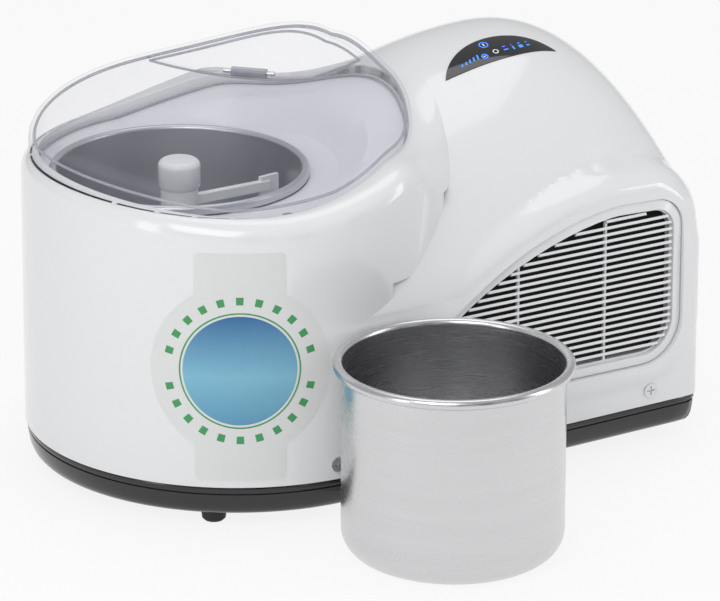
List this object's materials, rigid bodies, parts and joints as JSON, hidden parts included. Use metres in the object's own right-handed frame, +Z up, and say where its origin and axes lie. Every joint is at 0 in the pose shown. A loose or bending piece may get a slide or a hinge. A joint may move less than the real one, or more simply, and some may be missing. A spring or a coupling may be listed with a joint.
{
  "type": "ice cream maker",
  "caption": "Compressor ice cream maker with a fixed churning bowl, tilted clear lid with a filling flap, side louvres and a loose steel bowl.",
  "frame": {"origin": "middle of the whole set's footprint, on the table", "axes": "+X towards the hood's rear wall, +Y away from the side with the control window, +Z up"},
  "size_m": [0.411, 0.4282, 0.258],
  "materials": {
    "white_gloss": "high-gloss white moulding",
    "black_plastic": "fine-textured black moulding",
    "black_rubber": "matt rubber",
    "smoked_glass": "gloss black window",
    "clear_lid": "clear moulded plastic",
    "label": "printed film",
    "bowl_metal": "satin",
    "steel": "brushed",
    "zinc": "bright zinc",
    "copper": "drawn copper tube",
    "foam": "rigid foam",
    "gear_nylon": "natural nylon",
    "die_cast": "as cast",
    "laminations": "stacked laminations",
    "winding": "enamelled wire",
    "bronze": "sintered bronze",
    "black_paint": "black paint",
    "pcb": "solder mask",
    "white_plastic": "satin white food-grade plastic",
    "magnet": "sintered magnet"
  },
  "bodies": {
    "base": {"base_tray": "black_plastic", "feet": "black_rubber", "housing": "white_gloss", "housing_screws": "zinc", "front_grille": "white_gloss", "back_grille": "white_gloss", "control_window": "smoked_glass", "display_board": "pcb", "front_label": "label", "fixed_bowl": "bowl_metal", "bowl_seal": "black_rubber", "evaporator_coil": "copper", "bowl_insulation": "foam", "gearbox_case": "die_cast", "gearbox_cover": "die_cast", "gearbox_screws": "zinc", "shaft_bush": "bronze", "shaft_seal": "black_rubber", "motor_stator": "laminations", "motor_winding": "winding", "motor_bridge": "die_cast", "compressor": "black_paint", "compressor_mounts": "black_rubber", "compressor_terminal_cover": "black_plastic", "condenser": "black_paint", "fan_shroud": "black_plastic", "fan_motor": "laminations", "filter_drier": "copper", "discharge_pipe": "copper", "liquid_pipe": "copper", "capillary_tube": "copper", "suction_pipe": "copper", "control_board": "pcb", "board_posts": "gear_nylon", "cord_gland": "black_rubber", "reed_switch": "black_plastic"},
    "drive": {"drive_shaft": "steel", "output_gear": "gear_nylon", "paddle": "white_plastic", "paddle_knob": "white_plastic"},
    "layshaft": {"layshaft_gear": "gear_nylon"},
    "rotor": {"motor_rotor": "laminations"},
    "fan": {"fan_impeller": "black_plastic"},
    "lid": {"lid": "clear_lid", "flap_hinge_pin": "zinc", "lid_magnet": "magnet"},
    "flap": {"lid_flap": "clear_lid"},
    "loose_bowl": {"removable_bowl": "steel"}
  },
  "joints": [
    {"name": "paddle_spin", "type": "hinge", "parent": "base", "child": "drive", "pos_m": [-0.1105, 0.0755, 0.12], "axis": [0, 0, 1], "continuous": true},
    {"name": "layshaft_spin", "type": "hinge", "parent": "base", "child": "layshaft", "pos_m": [-0.0715, 0.0755, 0.07], "axis": [0, 0, 1], "continuous": true},
    {"name": "motor_spin", "type": "hinge", "parent": "base", "child": "rotor", "pos_m": [-0.0427, 0.0755, 0.05], "axis": [0, 0, 1], "continuous": true},
    {"name": "fan_spin", "type": "hinge", "parent": "base", "child": "fan", "pos_m": [0.1025, -0.0045, 0.091], "axis": [0, 1, 0], "continuous": true},
    {"name": "lid_lift", "type": "slide", "parent": "base", "child": "lid", "axis": [0, 0, 1], "range_m": [0, 0.12]},
    {"name": "flap_open", "type": "hinge", "parent": "lid", "child": "flap", "pos_m": [-0.02817, 0.12783, 0.23596], "axis": [0.7071, -0.7071, 0], "range_deg": [0, 75]},
    {"name": "loose_bowl_lift", "type": "slide", "parent": "base", "child": "loose_bowl", "axis": [0, 0, 1], "range_m": [0, 0.2]}
  ],
  "couplings": [
    {"joint": "layshaft_spin", "follows": "paddle_spin", "ratio": -4.5714},
    {"joint": "motor_spin", "follows": "paddle_spin", "ratio": 22.857}
  ]
}
